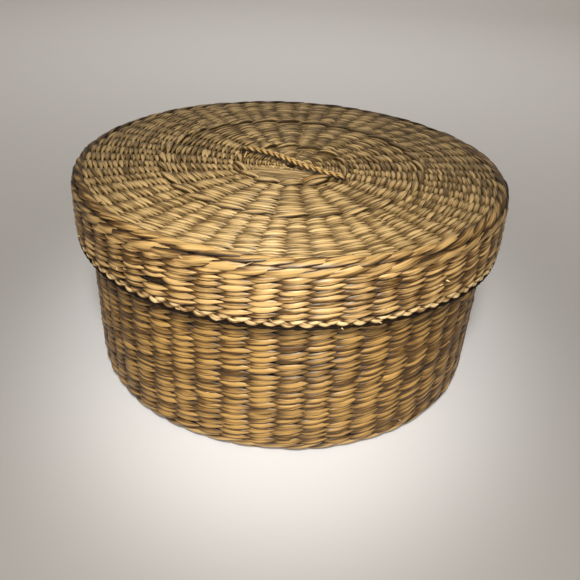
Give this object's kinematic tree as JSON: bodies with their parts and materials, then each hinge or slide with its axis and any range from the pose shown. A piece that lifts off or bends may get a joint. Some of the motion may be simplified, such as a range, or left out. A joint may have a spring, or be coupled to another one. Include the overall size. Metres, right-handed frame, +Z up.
{
  "type": "round lidded basket",
  "caption": "Round low basket twined from flattened straw, with a drop-over lid, plaited borders and a plaited grip lying across the lid's centre.",
  "frame": {"origin": "middle of the underside of the base, on the surface that the basket stands on", "axes": "+Z up, along the basket's round axis and the way the lid lifts; the front of the picture is towards -Y"},
  "size_m": [0.2008, 0.2008, 0.1025],
  "materials": {
    "stake_straw": "matt flattened straw",
    "weft_straw": "satin golden straw",
    "lid_weft_straw": "satin greyed straw",
    "wale_straw": "satin pale golden straw",
    "border_straw": "matt pale straw",
    "grip_straw": "satin golden straw"
  },
  "bodies": {
    "base": {"base_border": "border_straw", "base_bottom_stick_01": "stake_straw", "base_bottom_stick_02": "stake_straw", "base_bottom_stick_03": "stake_straw", "base_bottom_stick_04": "stake_straw", "base_bottom_stick_05": "stake_straw", "base_bottom_stick_06": "stake_straw", "base_bottom_stick_07": "stake_straw", "base_bottom_stick_08": "stake_straw", "base_bottom_stick_09": "stake_straw", "base_bottom_stick_10": "stake_straw", "base_bottom_stick_11": "stake_straw", "base_bottom_stick_12": "stake_straw", "base_bottom_stick_13": "stake_straw", "base_bottom_weave": "weft_straw", "base_foot_wale_over_ends": "wale_straw", "base_foot_wale_round_side": "wale_straw", "base_hub_tie": "wale_straw", "base_hub_weave": "weft_straw", "base_wall_weave_with_side_stakes": "weft_straw"},
    "lid": {"grip_strand_1": "grip_straw", "grip_strand_2": "grip_straw", "grip_strand_3": "grip_straw", "lid_border": "border_straw", "lid_corner_wale_over_ends": "wale_straw", "lid_corner_wale_round_side": "wale_straw", "lid_hub_tie": "wale_straw", "lid_hub_weave": "lid_weft_straw", "lid_increase_round": "wale_straw", "lid_inner_weave": "lid_weft_straw", "lid_outer_weave": "lid_weft_straw", "lid_skirt_weave_with_side_stakes": "weft_straw", "lid_top_stick_01": "stake_straw", "lid_top_stick_02": "stake_straw", "lid_top_stick_03": "stake_straw", "lid_top_stick_04": "stake_straw", "lid_top_stick_05": "stake_straw", "lid_top_stick_06": "stake_straw", "lid_top_stick_07": "stake_straw", "lid_top_stick_08": "stake_straw", "lid_top_stick_09": "stake_straw", "lid_top_stick_10": "stake_straw", "lid_top_stick_11": "stake_straw", "lid_top_stick_12": "stake_straw", "lid_top_stick_13": "stake_straw", "lid_top_stick_14": "stake_straw"}
  },
  "joints": [
    {"name": "lid_lift", "type": "slide", "parent": "base", "child": "lid", "axis": [0, 0, 1], "range_m": [0, 0.06]}
  ]
}
